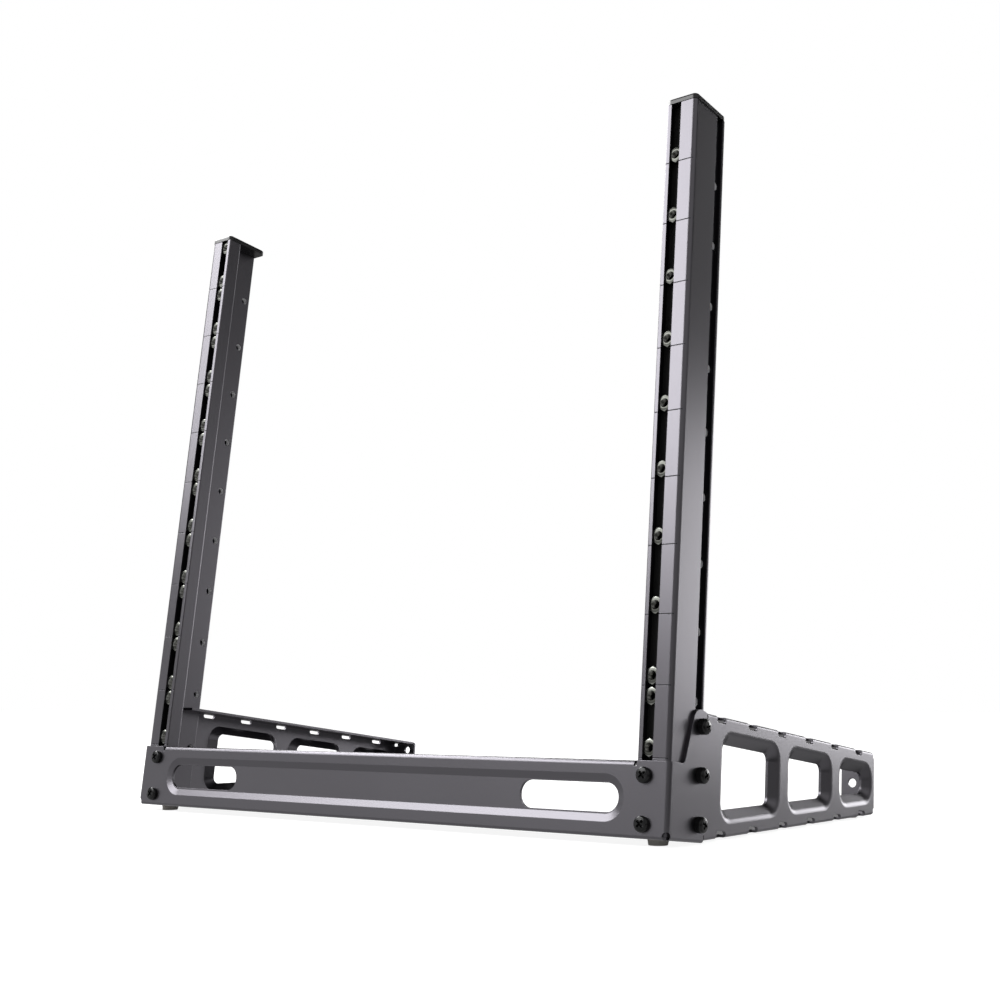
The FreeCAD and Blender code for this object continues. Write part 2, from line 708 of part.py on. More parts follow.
def cut_holes(body):
    """Cable cut-out in the panel's end, screw holes, and the rear flange's rack holes."""
    front_holes = new_sketch(body, "base_front_holes", "XZ_Plane", "dims.corner_bend")
    cut_middle = f"({PANEL_MIDDLE} + dims.cutout_rise)"
    cut_half = "dims.cutout_height / 2"
    draw_outline(front_holes, rectangle(
        "dims.cutout_inner", f"{cut_middle} - {cut_half}",
        "dims.cutout_outer", f"{cut_middle} + {cut_half}", "dims.cutout_round"))
    for height in ("dims.front_screw_upper", "dims.front_screw_lower"):
        draw_circle(front_holes, "dims.hole_column", height, "dims.screw_hole_radius")
    add_pocket(body, front_holes, "dims.corner_bend + dims.cut_margin")
    side_holes = new_sketch(body, "base_side_holes", "YZ_Plane", LEG_OUTER)
    for level in SIDE_LEVELS:
        draw_circle(side_holes, "dims.hole_row", f"dims.side_screw_{level}", "dims.screw_hole_radius")
    add_pocket(body, side_holes, "dims.cut_margin")
    rear_holes = new_sketch(body, "base_rear_holes", "XZ_Plane", "-dims.leg_rear + dims.cut_margin")
    for height in ("dims.hole_low", "dims.hole_middle"):
        draw_circle(rear_holes, "dims.hole_column", height, "dims.rear_hole_radius")
    add_pocket(body, rear_holes, "dims.cut_margin * 2")


def cut_corner_reliefs(body):
    """Round reliefs where folds meet: the front corner's foot and the leg's two rear corners."""
    front = new_sketch(body, "base_front_relief", "XZ_Plane")
    front.AttachmentOffset = FreeCAD.Placement(V(), FreeCAD.Rotation(V(0, 1, 0), 45))
    front.setExpression("AttachmentOffset.Base.x", LEG_OUTER)
    front.setExpression("AttachmentOffset.Base.z", "dims.sheet_thick")
    doc.recompute()
    rise = f"{RAIL_LOW} + dims.corner_relief_rise"
    draw_circle(front, "0", rise, "dims.corner_relief_radius")
    add_pocket(body, front, "dims.corner_bend + dims.sheet_thick")
    rear = new_sketch(body, "base_rear_reliefs", "YZ_Plane", LEG_OUTER)
    inset = "dims.leg_rear - dims.rear_relief_inset"
    drop = "dims.rear_relief_drop"
    draw_circle(rear, inset, f"{flange_top_at('dims.leg_rear')} - {drop}", "dims.rear_relief_radius")
    draw_circle(rear, inset, f"{flange_low_at('dims.leg_rear')} + {drop}", "dims.rear_relief_radius")
    add_pocket(body, rear, "dims.slot_reach")


def build_base():
    """The whole base sheet: half of it is drawn on the right and mirrored to the left."""
    body = new_body("base_frame")
    fold_strip(body)
    fold_leg_flanges(body)
    fold_rail_flanges(body)
    round_bends(body)
    for number in (1, 2, 3):
        dish_opening(body, number)
    recess_panel(body)
    cut_bend_slots(body)
    cut_holes(body)
    cut_corner_reliefs(body)
    mirror = body.newObject("PartDesign::Mirrored", "base_other_half")
    plane = [f for f in body.Origin.OriginFeatures if f.Role == "YZ_Plane"][0]
    mirror.TransformMode = "Whole shape"
    mirror.MirrorPlane = (plane, [""])
    body.Tip = mirror
    doc.recompute()
    return body


def new_block(name, low, high):
    """A box between two corners, each given as three expressions."""
    block = doc.addObject("Part::Box", name)
    for length, axis, first, last in zip(("Length", "Width", "Height"), "xyz", low, high):
        block.setExpression(f"Placement.Base.{axis}", first)
        block.setExpression(length, f"{last} - ({first})")
    return block


def leg_zone(side, sign):
    """The space that holds one leg: its plate beside the post, its flanges, and the upper one's tongue."""
    beside = f"({FLOOR_HALF} + {POST_OUTER}) / 2"
    inside = f"({FLANGE_EDGE} - dims.cut_margin)"
    outside = f"({LEG_OUTER} + dims.cut_margin)"
    bend_end = "(dims.corner_bend - dims.sheet_thick + dims.bend_run)"
    flange_gap = f"(dims.rail_floor_depth + {FLANGE_FRONT}) / 2"
    behind = "(dims.leg_rear + dims.cut_margin)"
    below = f"({RAIL_LOW} - dims.cut_margin)"
    above = "(dims.leg_crest + dims.cut_margin)"
    tongue_front = "(dims.tongue_front - dims.cut_margin)"
    tongue_low = "(dims.flange_top - dims.cut_margin)"
    blocks = []
    for name, near, front, bottom in (
        ("plate", beside, bend_end, below),
        ("flanges", inside, flange_gap, below),
        ("tongue", inside, tongue_front, tongue_low),
    ):
        across = (near, outside) if sign > 0 else (f"-({outside})", f"-({near})")
        low = (across[0], front, bottom)
        high = (across[1], behind, above)
        blocks.append(new_block(f"{side}_leg_{name}_zone", low, high))
    zone = doc.addObject("Part::MultiFuse", f"{side}_leg_zone")
    zone.Shapes = blocks
    doc.recompute()
    return zone


def part_base(sheet):
    """Front rail and legs as pieces of their own, parted just behind the corner bends."""
    zones = [leg_zone(side, sign) for side, sign in SIDES]
    both = doc.addObject("Part::MultiFuse", "leg_zones")
    both.Shapes = zones
    rail = doc.addObject("Part::Cut", "front_rail")
    rail.Base = sheet
    rail.Tool = both
    parted = [rail]
    for (side, sign), zone in zip(SIDES, zones):
        leg = doc.addObject("Part::Common", f"{side}_leg")
        leg.Base = sheet
        leg.Tool = zone
        parted.append(leg)
    doc.recompute()
    return parted


def build_screw(name, head_height):
    """A pan-head screw drawn round its own axis: seat at Z = 0, head above, shank below."""
    body = new_body(name)
    half = new_sketch(body, f"{name}_half", "XZ_Plane")
    draw_outline(half, [
        ("0", "-dims.screw_length"),
        ("dims.screw_radius", "-dims.screw_length"),
        ("dims.screw_radius", "0"),
        ("dims.head_radius", "0"),
        ("dims.head_radius", head_height, "dims.head_round"),
        ("0", head_height),
    ])
    spin = body.newObject("PartDesign::Revolution", f"{name}_turned")
    spin.Profile = half
    spin.ReferenceAxis = (half, ["V_Axis"])
    spin.Angle = 360
    doc.recompute()
    return body


def stand(shape_y_middle=0.0):
    """The common placement: lean back until the legs are level, then lift onto the desk."""
    lean = FreeCAD.Rotation(V(1, 0, 0), -size("dims.lean_deg"))
    leg_bottom = lean.multVec(V(0, size("dims.flange_start"), size("dims.flange_low"))).z
    lift = size("dims.pad_thick") - leg_bottom
    return FreeCAD.Placement(V(0, -shape_y_middle, lift), lean)


def build_foot(side, sign):
    """A tapered rubber foot under the rail's floor, trimmed level with the desk."""
    blank = size("dims.foot_blank")
    cone = doc.addObject("Part::Cone", f"{side}_foot_cone")
    cone.setExpression("Radius1", "dims.foot_low_radius")
    cone.setExpression("Radius2", "dims.foot_top_radius")
    cone.setExpression("Height", "dims.foot_blank")
    top = V(sign * size("dims.hole_column"), size("dims.foot_row"), size(RAIL_LOW))
    cone.Placement = FreeCAD.Placement(top - V(0, 0, blank), FreeCAD.Rotation())
    desk = doc.addObject("Part::Box", f"{side}_foot_trim")
    reach = 4 * blank
    desk.Length = 2 * reach
    desk.Width = 2 * reach
    desk.Height = reach
    to_rack = stand().inverse()
    corner = stand().multVec(top) - V(reach, reach, 0)
    corner.z = -reach
    desk.Placement = FreeCAD.Placement(to_rack.multVec(corner), to_rack.Rotation)
    foot = doc.addObject("Part::Cut", f"{side}_front_foot")
    foot.Label = f"{side}_front_foot"
    foot.Base = cone
    foot.Tool = desk
    doc.recompute()
    return foot


def build_pad(side):
    """A thin rubber pad under the rear end of a leg's lower flange."""
    pad = doc.addObject("Part::Cylinder", f"{side}_rear_pad")
    pad.Label = f"{side}_rear_pad"
    pad.setExpression("Radius", "dims.pad_radius")
    pad.setExpression("Height", "dims.pad_thick")
    doc.recompute()
    return pad


pieces = part_base(build_base())
for side, sign in SIDES:
    pieces.append(build_post(side, sign))
    pieces.append(build_cap(side, sign))
    pieces.append(build_nut_strip(side, sign))
    pieces.append(build_nuts(side, sign))
    pieces.append(build_foot(side, sign))

# Each piece with its own place in the rack's axes, before the rack is leaned back
places = [(piece, piece.Placement) for piece in pieces]
front_turn = FreeCAD.Rotation(V(0, 0, 1), V(0, -1, 0))
level_turn = stand().inverse().Rotation
for side, sign in SIDES:
    side_turn = FreeCAD.Rotation(V(0, 0, 1), V(sign, 0, 0))
    column = sign * size("dims.hole_column")
    leg_face = sign * size(LEG_OUTER)
    for level in ("upper", "lower"):
        screw = build_screw(f"{side}_{level}_front_screw", "dims.front_head_height")
        seat = V(column, -size("dims.sheet_thick"), size(f"dims.front_screw_{level}"))
        places.append((screw, FreeCAD.Placement(seat, front_turn)))
    for level in SIDE_LEVELS:
        screw = build_screw(f"{side}_{level}_side_screw", "dims.side_head_height")
        seat = V(leg_face, size("dims.hole_row"), size(f"dims.side_screw_{level}"))
        places.append((screw, FreeCAD.Placement(seat, side_turn)))
    flange_middle = leg_face - sign * size("dims.flange_width") / 2
    under = V(flange_middle, size("dims.pad_row"), size(flange_low_at("dims.pad_row")))
    under = under - level_turn.multVec(V(0, 0, size("dims.pad_thick")))
    places.append((build_pad(side), FreeCAD.Placement(under, level_turn)))

# The origin lies at the middle of the footprint: measure the leaned rack, then place it
front, rear = math.inf, -math.inf
for piece, place in places:
    piece.Placement = stand() * place
    doc.recompute()
    box = piece.Shape.optimalBoundingBox(False)
    front = min(front, box.YMin)
    rear = max(rear, box.YMax)
for piece, place in places:
    piece.Placement = stand((front + rear) / 2) * place
doc.recompute()

for item in doc.Objects:
    if {"Invalid", "Error"} & set(item.State):
        raise RuntimeError(f"{item.Name} failed: {item.State}")
for piece, place in places:
    if piece.Shape.isNull() or not piece.Shape.isValid():
        raise RuntimeError(f"{piece.Label} has no valid shape")

os.makedirs("parts", exist_ok=True)
for piece, place in places:
    piece.Shape.exportStep(f"parts/{piece.Label}.step")
    box = piece.Shape.optimalBoundingBox(False)
    low = f"{box.XMin:8.2f} {box.YMin:8.2f} {box.ZMin:8.2f}"
    high = f"{box.XMax:8.2f} {box.YMax:8.2f} {box.ZMax:8.2f}"
    count = len(piece.Shape.Solids)
    print(f"{piece.Label:26s} {count:3d} solids {piece.Shape.Volume:10.1f} mm3  {low}  {high}")
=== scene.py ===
"""Looks of the desktop data rack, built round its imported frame.

The frame holds the folded base, the posts, the caps, the nut strips and the feet: they get
their finishes here. The screws and the captive nuts are made again, with cross recesses,
chamfers and threads, and stand for the plain ones. Lengths are metres in the frame's axes,
and the drawing sizes of the new pieces are millimetres in the rack's own axes.
"""
import json

import bpy
import numpy as np
from mathutils import Matrix, Vector


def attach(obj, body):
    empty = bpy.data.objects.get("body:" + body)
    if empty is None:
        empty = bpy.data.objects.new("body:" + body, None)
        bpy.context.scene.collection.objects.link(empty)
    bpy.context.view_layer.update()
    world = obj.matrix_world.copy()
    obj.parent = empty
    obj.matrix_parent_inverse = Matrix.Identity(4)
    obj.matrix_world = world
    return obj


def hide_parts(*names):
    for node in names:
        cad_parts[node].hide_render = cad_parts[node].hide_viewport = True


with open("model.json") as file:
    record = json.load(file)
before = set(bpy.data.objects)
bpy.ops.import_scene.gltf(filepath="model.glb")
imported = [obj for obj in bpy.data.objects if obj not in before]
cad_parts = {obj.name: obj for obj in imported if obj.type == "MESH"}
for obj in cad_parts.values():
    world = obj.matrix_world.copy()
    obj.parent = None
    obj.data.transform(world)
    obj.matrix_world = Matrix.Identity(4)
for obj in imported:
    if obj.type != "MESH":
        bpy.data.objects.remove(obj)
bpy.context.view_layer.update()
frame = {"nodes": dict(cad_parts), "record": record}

MM = 0.001
BODY = "root"
SIDES = {"left": -1, "right": 1}

# Rack standard, in millimetres
UNIT_PITCH = 44.45
UNIT_COUNT = 10
HOLE_LOW = 6.35
HOLE_HIGH = 38.1


# The rack's own axes

def mesh_points(node):
    """All points of a CAD node's mesh, as one array."""
    mesh = frame["nodes"][node].data
    points = np.zeros(len(mesh.vertices) * 3)
    mesh.vertices.foreach_get("co", points)
    return points.reshape(-1, 3)


def rack_axes(record):
    """Origin and axes of the rack in the frame: X across, Y to the rear, Z up the posts.

    Two nuts of one post are a whole number of units apart, which gives the way up; the
    lower one lies HOLE_LOW above the lowest unit line, which gives the origin's height.
    The posts' front faces, the lowest Y that their corners reach, give Y = 0.
    """
    places = {m["name"]: np.array(m["pos_m"]) for m in record["mounts"]}
    low = places["right_unit_1_lower_nut"]
    up = places["right_unit_10_lower_nut"] - low
    up = up / np.linalg.norm(up)
    across = np.array([1.0, 0.0, 0.0])
    rear = np.cross(up, across)
    axes = np.stack([across, rear, up])
    post = mesh_points("right_post") @ axes.T
    start = np.array([0.0, post[:, 1].min(), low @ up - HOLE_LOW * MM])
    return start @ axes, axes


ORIGIN, AXES = rack_axes(frame["record"])


def to_frame(points):
    """Points in the rack's axes, in millimetres, as points in the frame, in metres."""
    return points * MM @ AXES + ORIGIN


def rack_box(node):
    """Lowest and highest corner of a CAD node in the rack's axes, in millimetres."""
    points = (mesh_points(node) - ORIGIN) @ AXES.T / MM
    return points.min(0), points.max(0)


# Surfaces on a grid

SHARP_ANGLE = np.radians(32)


def full_turn(steps):
    """Evenly spaced angles once round."""
    return np.linspace(0, 2 * np.pi, steps, endpoint=False)


def grid_faces(rows, columns, close_rows=False):
    """Quads of a grid that closes round its columns, and round its rows too where asked."""
    last = rows if close_rows else rows - 1
    row, column = np.meshgrid(np.arange(last), np.arange(columns), indexing="ij")
    next_row = (row + 1) % rows
    next_column = (column + 1) % columns
    corners = [row * columns + column, row * columns + next_column]
    corners += [next_row * columns + next_column, next_row * columns + column]
    return np.stack(corners, -1).reshape(-1, 4)


def repeat_shape(points, faces, places):
    """One array of points and faces with a copy of the shape at each place."""
    copies = (points[None] + places[:, None]).reshape(-1, 3)
    shift = np.arange(len(places))[:, None, None] * len(points)
    return copies, (faces[None] + shift).reshape(-1, faces.shape[1])


def new_piece(name, points, faces, finish, replaced):
    """A mesh piece in the frame's axes that stands for the named CAD nodes."""
    mesh = bpy.data.meshes.new(name)
    mesh.from_pydata(points.tolist(), [], faces)
    mesh.polygons.foreach_set("use_smooth", np.ones(len(faces), bool))
    mesh.set_sharp_from_angle(angle=SHARP_ANGLE)
    mesh.materials.append(finish)
    mesh.update()
    piece = bpy.data.objects.new(name, mesh)
    bpy.context.scene.collection.objects.link(piece)
    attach(piece, BODY)
    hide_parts(*replaced)
    return piece


# Screws, in millimetres, with the shoulder and the crown as shares of the head's radius

SHANK_RADIUS = 2.5
TIP_CHAMFER = 0.8
SEAT_CHAMFER = 0.15
SHOULDER_SHARE = 0.36
CROWN_SHARE = 0.07

# Cross recess: an arm's half width, reach and depth, the share of depth lost at its end, its wall
ARM_HALF = 0.72
ARM_REACH = 2.75
ARM_DEPTH = 2.3
ARM_RISE = 0.55
ARM_WALL = 0.16

# Steps round a screw, over its shoulder and in to the pole, and the radius that closes a pole
SCREW_TURNS = 120
SHOULDER_STEPS = 12
CROWN_STEPS = 44
POLE_RADIUS = 0.001

# The screws of one side of the rack, and the rolls of all crosses in degrees, the left side first
SCREW_LEVELS = {"front": ("upper", "lower"), "side": ("upper", "middle", "lower")}
CROSS_ROLLS = (38, 52, 20, 65, 8, 41, 46, 12, 33, 70)


def screw_surface(head_radius, head_height, shank_length):
    """A pan-head screw round Z, seat at Z = 0: a profile turned round the axis.

    The profile runs up the shank, out along the seat, up the head's short wall, over its
    rounded shoulder and in over a faint crown. On the crown the cross recess is sunk: the
    depth is greatest at the axis and falls off along the arms, and its edge follows the
    distance to the nearer arm, softened over a narrow wall. A tiny polygon closes each pole.
    """
    shoulder = SHOULDER_SHARE * head_radius
    crown = CROWN_SHARE * head_radius
    wall_top = head_height - crown - shoulder
    flat = head_radius - shoulder
    shank = [
        (POLE_RADIUS, -shank_length),
        (SHANK_RADIUS - TIP_CHAMFER, -shank_length),
        (SHANK_RADIUS, TIP_CHAMFER - shank_length),
        (SHANK_RADIUS, 0.0),
        (head_radius - SEAT_CHAMFER, 0.0),
        (head_radius, SEAT_CHAMFER),
    ]
    swing = np.linspace(0, np.pi / 2, SHOULDER_STEPS)
    round_over = np.stack([flat + shoulder * np.cos(swing), wall_top + shoulder * np.sin(swing)], -1)
    inwards = np.linspace(flat, POLE_RADIUS, CROWN_STEPS)[1:]
    top = np.stack([inwards, head_height - crown * (inwards / flat) ** 2], -1)
    radius, height = np.concatenate([shank, round_over, top]).T[:, :, None]

    angle = full_turn(SCREW_TURNS)
    x = radius * np.cos(angle)
    y = radius * np.sin(angle)
    across = np.minimum(np.abs(x), np.abs(y))
    along = np.maximum(np.abs(x), np.abs(y))
    recess = np.clip((ARM_HALF - across) / ARM_WALL, 0, 1) * np.clip((ARM_REACH - along) / ARM_WALL, 0, 1)
    recess[:-len(inwards)] = 0
    z = height - recess * ARM_DEPTH * (1 - ARM_RISE * along / ARM_REACH)
    points = np.stack([x, y, z], -1).reshape(-1, 3)

    faces = grid_faces(len(radius), SCREW_TURNS).tolist()
    foot = list(range(SCREW_TURNS))
    crest = list(range(len(points) - SCREW_TURNS, len(points)))
    return points, faces + [foot[::-1], crest]


def turn_to(points, way, roll):
    """Turns points drawn round Z so that Z points along a level way, after a roll round Z.

    X goes to a direction square to the way, the roll above level, and Y to the one square
    to both.
    """
    way = np.array(way, float)
    up = np.array([0.0, 0.0, 1.0])
    level = np.cross(up, way)
    spun = np.cos(roll) * level + np.sin(roll) * up
    other = np.cross(way, spun)
    return points[:, :1] * spun + points[:, 1:2] * other + points[:, 2:] * way


def add_screws(finish):
    """All screws, each where its CAD node is, each with its own roll of the cross."""
    rolls = iter(np.radians(CROSS_ROLLS))
    front_seat = rack_box("front_rail")[0][1]
    side_seat = rack_box("right_leg")[1][0]
    for side, sign in SIDES.items():
        # The screws' axis, the way that their heads face, and where the seat lies on the axis
        settings = {"front": (1, (0, -1, 0), front_seat), "side": (0, (sign, 0, 0), sign * side_seat)}
        for face, levels in SCREW_LEVELS.items():
            axis, way, seat = settings[face]
            for level in levels:
                node = f"{side}_{level}_{face}_screw"
                low, high = rack_box(node)
                head_radius = (high[2] - low[2]) / 2
                foot, top = (low[axis], high[axis]) if way[axis] > 0 else (high[axis], low[axis])
                place = (low + high) / 2
                place[axis] = seat
                points, faces = screw_surface(head_radius, abs(top - seat), abs(foot - seat))
                points = to_frame(turn_to(points, way, next(rolls)) + place)
                name = f"{side}_{level}_{face}_cross_screw"
                new_piece(name, points, faces, finish, [node])


# Captive nuts, in millimetres: bore, thread, its chamfered mouth, the face's circle as a share of the flats

BORE_RADIUS = 2.5
THREAD_PITCH = 1.0
THREAD_DEPTH = 0.5
BORE_MOUTH = 0.55
FACE_SHARE = 0.95
NUT_TURNS = 72
THREAD_STEPS = 30

# Mark on a nut's points, which its finish reads
NUT_MARK = "flat_face"
MARK_FACE = 1.0
MARK_SIDE = 0.0
MARK_THREAD = -1.0


def nut_surface(across_flats, thick):
    """A hexagon nut round Y, front face at Y = 0: a closed profile carried round the bore.

    At each angle the outer radius is the hexagon's, half the width over the cosine of the
    angle to the nearest flat. Both faces are chamfered at 30 degrees from a circle just
    inside the flats. The bore is a thread: its radius swings between minor and major as a
    triangle wave of the depth plus the angle's share of one pitch. Each point is marked by
    where it lies: on a face, at a side or in the thread.
    """
    angle = full_turn(NUT_TURNS)
    to_flat = angle % (np.pi / 3) - np.pi / 6
    hexagon = across_flats / 2 / np.cos(to_flat)
    ring = np.full(NUT_TURNS, across_flats / 2 * FACE_SHARE)
    mouth = np.full(NUT_TURNS, BORE_RADIUS + BORE_MOUTH)
    front = np.zeros(NUT_TURNS)
    rear = front + thick
    drop = (hexagon - ring) * np.tan(np.pi / 6)
    depth = np.linspace(thick - BORE_MOUTH, BORE_MOUTH, THREAD_STEPS)[:, None]
    swing = np.abs(2 * ((depth / THREAD_PITCH + angle / (2 * np.pi)) % 1) - 1)
    thread = BORE_RADIUS + THREAD_DEPTH * swing
    radius = np.vstack([mouth, ring, hexagon, hexagon, ring, mouth, thread])
    y = np.vstack([front, front, drop, thick - drop, rear, rear, np.repeat(depth, NUT_TURNS, 1)])
    points = np.stack([radius * np.sin(angle), y, radius * np.cos(angle)], -1)
    face, edge = [MARK_FACE] * 2, [MARK_SIDE] * 2
    marks = np.repeat(face + edge + face + [MARK_THREAD] * THREAD_STEPS, NUT_TURNS)
    faces = grid_faces(len(radius), NUT_TURNS, close_rows=True)
    return points.reshape(-1, 3), faces, marks


def add_nuts(finish):
    """The captive nuts of both posts, where the plain ones are.

    Each unit has a lower nut. The left post has an upper nut in each unit too, the right one
    only in the first. Two more take the front screws.
    """
    units = np.arange(UNIT_COUNT) * UNIT_PITCH
    for side in SIDES:
        node = f"{side}_captive_nuts"
        low, high = rack_box(node)
        column = (low[0] + high[0]) / 2
        points, faces, marks = nut_surface(high[0] - low[0], high[1] - low[1])
        upper = HOLE_HIGH + (units if side == "left" else units[:1])
        screws = [f"{side}_{level}_front_screw" for level in SCREW_LEVELS["front"]]
        heights = np.concatenate([HOLE_LOW + units, upper, [np.mean(rack_box(s), 0)[2] for s in screws]])
        places = np.column_stack(np.broadcast_arrays(column, low[1], heights))
        points, faces = repeat_shape(points, faces, places)
        nuts = new_piece(f"{side}_hexagon_nuts", to_frame(points), faces.tolist(), finish, [node])
        mark = nuts.data.attributes.new(NUT_MARK, "FLOAT", "POINT")
        mark.data.foreach_set("value", np.tile(marks, len(places)))


# Finishes

EDGE_SAMPLES = 6


class Signal:
    """A value inside a finish: arithmetic on it adds Math nodes."""

    def __init__(self, finish, socket):
        self.finish = finish
        self.socket = socket

    def math(self, operation, *others):
        return self.finish.math(operation, self, *others)

    def __add__(self, other):
        return self.math("ADD", other)

    __radd__ = __add__

    def __mul__(self, other):
        return self.math("MULTIPLY", other)

    __rmul__ = __mul__

    def __sub__(self, other):
        return self.math("SUBTRACT", other)

    def __rsub__(self, other):
        return self.finish.math("SUBTRACT", other, self)

    def between(self, low, high):
        """1 where the value lies between low and high, 0 elsewhere."""
        return self.math("GREATER_THAN", low) * self.math("LESS_THAN", high)

    def to_unit(self):
        """The value less the nearest whole number of units."""
        return self.math("WRAP", UNIT_PITCH / 2, -UNIT_PITCH / 2)


class Finish:
    """The nodes of a material or of the world: one method adds any node.

    It takes the node's type, its settings, and the values or links of its sockets.
    """

    def __init__(self, owner):
        owner.use_nodes = True
        self.owner = owner
        self.tree = owner.node_tree
        self.tree.nodes.clear()

    def node(self, kind, settings=None, inputs=None, output=0):
        made = self.tree.nodes.new(kind)
        for key, value in (settings or {}).items():
            setattr(made, key, value)
        for key, value in (inputs or {}).items():
            if isinstance(value, Signal):
                self.tree.links.new(value.socket, made.inputs[key])
            else:
                made.inputs[key].default_value = value
        return Signal(self, made.outputs[output]) if len(made.outputs) else None

    def math(self, operation, *values):
        """A Math node on values and numbers."""
        return self.node("ShaderNodeMath", {"operation": operation}, dict(enumerate(values)))

    def place(self):
        """Object coordinates, which are the frame's own metres."""
        return self.node("ShaderNodeTexCoord", output="Object")

    def part_of(self, vector, axis):
        """One of the X, Y and Z parts of a vector."""
        return self.node("ShaderNodeSeparateXYZ", inputs={0: vector}, output=axis)

    def dot(self, vector, axis):
        """Dot product of a vector with a fixed axis."""
        inputs = {0: vector, 1: axis}
        return self.node("ShaderNodeVectorMath", {"operation": "DOT_PRODUCT"}, inputs, "Value")

    def rack_place(self):
        """Millimetres across, to the rear and up the posts, in the rack's own axes."""
        inputs = {0: self.place(), 1: ORIGIN}
        place = self.node("ShaderNodeVectorMath", {"operation": "SUBTRACT"}, inputs)
        return [self.dot(place, axis / MM) for axis in AXES]

    def noise(self, scale, detail=2.0, roughness=0.5, stretch=None):
        """Fractal noise between 0 and 1 on the object's own metres, scale cells to the metre."""
        place = self.place()
        if stretch is not None:
            place = self.node("ShaderNodeMapping", inputs={"Vector": place, "Scale": stretch})
        inputs = {"Vector": place, "Scale": scale, "Detail": detail, "Roughness": roughness}
        return self.node("ShaderNodeTexNoise", inputs=inputs, output="Fac")

    def ease(self, value, span, start=0.0, end=1.0):
        """A smooth step over a span of the value, from start below it to end above it."""
        inputs = {"Value": value, "From Min": span[0], "From Max": span[1], "To Min": start, "To Max": end}
        return self.node("ShaderNodeMapRange", {"interpolation_type": "SMOOTHSTEP"}, inputs)

    def blend(self, share, low, high):
        """A colour between two colours."""
        return self.node("ShaderNodeMix", {"data_type": "RGBA"}, {0: share, 6: low, 7: high}, 2)

    def bump(self, height, distance, strength, edge=None):
        """A normal from a height in units of distance, on rounded edges where a radius is given."""
        inputs = {"Height": height, "Distance": distance, "Strength": strength}
        if edge is not None:
            inputs["Normal"] = self.node("ShaderNodeBevel", {"samples": EDGE_SAMPLES}, {"Radius": edge})
        return self.node("ShaderNodeBump", inputs=inputs)

    def matt(self, tone):
        """A matt grey shader."""
        return self.node("ShaderNodeBsdfDiffuse", inputs={"Color": (tone, tone, tone, 1)})

    def glow(self, strength):
        """A white shader that gives its own light."""
        return self.node("ShaderNodeEmission", inputs={"Color": WHITE, "Strength": strength})

    def layer(self, share, below, above):
        """A shader between two shaders."""
        return self.node("ShaderNodeMixShader", inputs={0: share, 1: below, 2: above})

    def seen(self):
        """Two masks: what the camera sees itself, and what metal or glass shows."""
        camera, glossy, clear = [self.node("ShaderNodeLightPath", output=f"Is {kind} Ray")
                                 for kind in ("Camera", "Glossy", "Transmission")]
        return camera, glossy.math("MAXIMUM", clear)

    def close(self, **inputs):
        """Ends the finish with the surface shader and returns the material."""
        named = {key.replace("_", " "): value for key, value in inputs.items()}
        shader = self.node("ShaderNodeBsdfPrincipled", inputs=named)
        self.node("ShaderNodeOutputMaterial", inputs={"Surface": shader})
        return self.owner


def new_finish(name):
    """An empty finish on a new material."""
    return Finish(bpy.data.materials.new(name))


# Colours: where two stand together, a cloud or a grain runs from the first to the second
WHITE = (1, 1, 1, 1)
GUNMETAL = ((0.126, 0.121, 0.133, 1), (0.137, 0.132, 0.145, 1))
ANODISED = ((0.120, 0.115, 0.127, 1), (0.129, 0.124, 0.136, 1))
# Painted shade: black for the post's channel, its groove, the groove's rear lip and the inner holes' floors
PAINTED_SHADE_BLACK = (0.03, 0.0285, 0.034, 1)
LINE_BLACK = (0.03, 0.03, 0.032, 1)
# Bare metal of the drilled holes, made near-white and mostly matt as a painted glint
BARE_METAL_AND_GLINT = (0.85, 0.85, 0.86, 1)
CAP_BLACK = ((0.004, 0.004, 0.0045, 1), (0.006, 0.006, 0.0065, 1))
CARRIER_BLACK = ((0.003, 0.003, 0.003, 1), (0.006, 0.006, 0.006, 1))
ZINC = ((0.25, 0.26, 0.235, 1), (0.36, 0.37, 0.34, 1))
# Painted shade on the nuts: dark faces, and a thread a little darker than the zinc's sides
ZINC_FACE_SHADE = (0.085, 0.087, 0.079, 1)
ZINC_THREAD_SHADE = (0.22, 0.22, 0.205, 1)
OXIDE_BLACK = ((0.003, 0.003, 0.0035, 1), (0.006, 0.006, 0.0065, 1))
RUBBER_GREY = ((0.42, 0.40, 0.375, 1), (0.5, 0.475, 0.445, 1))

# Spans of a post's hollows that are painted black as shade, in millimetres of the rack's axes, across or to
# the rear
CHANNEL_ACROSS = (227.0, 238.1)
CHANNEL_REAR = (1.6, 11.2)
GROOVE_FROM = 245.1
# The groove and most of the lip behind it, up to 2 mm before the post's rear edge, all painted black as
# shade
GROOVE_REAR = (28.7, 38.0)
LINE_HALF = 0.28
LINE_REAR = (0.08, 0.6)
# The blind holes: their row, the radii that hold their walls, and the depths across
HOLE_ROW = 34.0
HOLE_WALL = (2.7, 2.95)
INNER_HOLE = (237.95, 241.55)
OUTER_HOLE = (241.55, 245.15)

# Values of the nuts' mark past which a point counts as on a face or in the thread
ON_FACE = 0.98
IN_THREAD = -0.5


def gunmetal_paint():
    """Fine satin powder coat: dark gunmetal grey with a faint violet cast and a fine grain."""
    f = new_finish("gunmetal_paint")
    cloud = f.noise(scale=9.0, detail=3.0)
    grain = f.noise(scale=2600.0)
    colour = f.blend(cloud, *GUNMETAL)
    roughness = 0.27 + 0.05 * cloud + 0.05 * grain
    normal = f.bump(grain, distance=0.00004, strength=0.25, edge=0.0005)
    return f.close(Base_Color=colour, Roughness=roughness, Normal=normal, Metallic=1.0)


